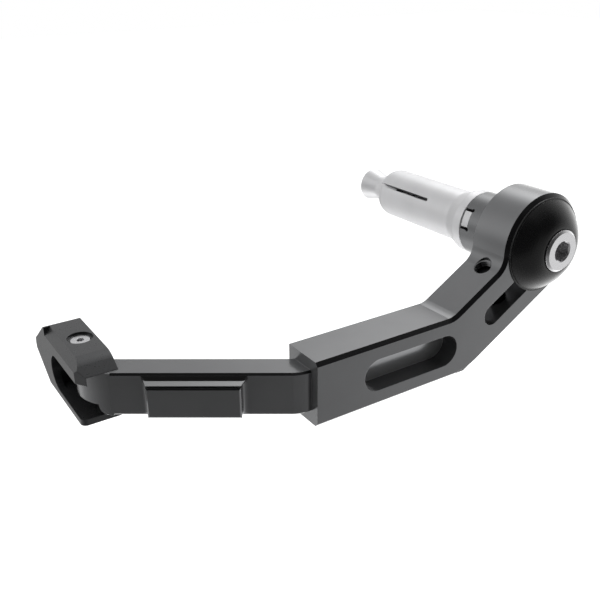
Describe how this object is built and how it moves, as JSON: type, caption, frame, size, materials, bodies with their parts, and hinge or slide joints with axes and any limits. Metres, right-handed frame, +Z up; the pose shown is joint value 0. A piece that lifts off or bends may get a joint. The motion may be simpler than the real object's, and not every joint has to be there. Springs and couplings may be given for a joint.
{
  "type": "brake lever guard",
  "caption": "Machined lever guard arm with a dog-leg, an angled blade and a hollow end tip, clamped to a domed bar end with an expanding insert.",
  "frame": {"origin": "on the handlebar axis, where the insert's straight sleeve starts", "axes": "+X along the handlebar axis out of the bar, +Z up, and the arm runs from the hub towards -Y"},
  "size_m": [0.0938, 0.1563, 0.0524],
  "materials": {
    "arm_metal": "polished dark grey anodised",
    "tip_metal": "satin dark grey anodised",
    "screw_steel": "bright turned",
    "dome_metal": "satin black anodised",
    "collar_metal": "dark anodised",
    "insert_metal": "polished",
    "dark_steel": "black oxide"
  },
  "bodies": {
    "root": {"guard_arm": "arm_metal", "end_tip": "tip_metal", "tip_screw": "screw_steel", "bar_end_dome": "dome_metal", "dome_bolt": "screw_steel", "clamp_collar": "collar_metal", "expander_sleeve": "insert_metal", "expander_cone": "insert_metal", "pinch_screw": "dark_steel"}
  },
  "joints": []
}
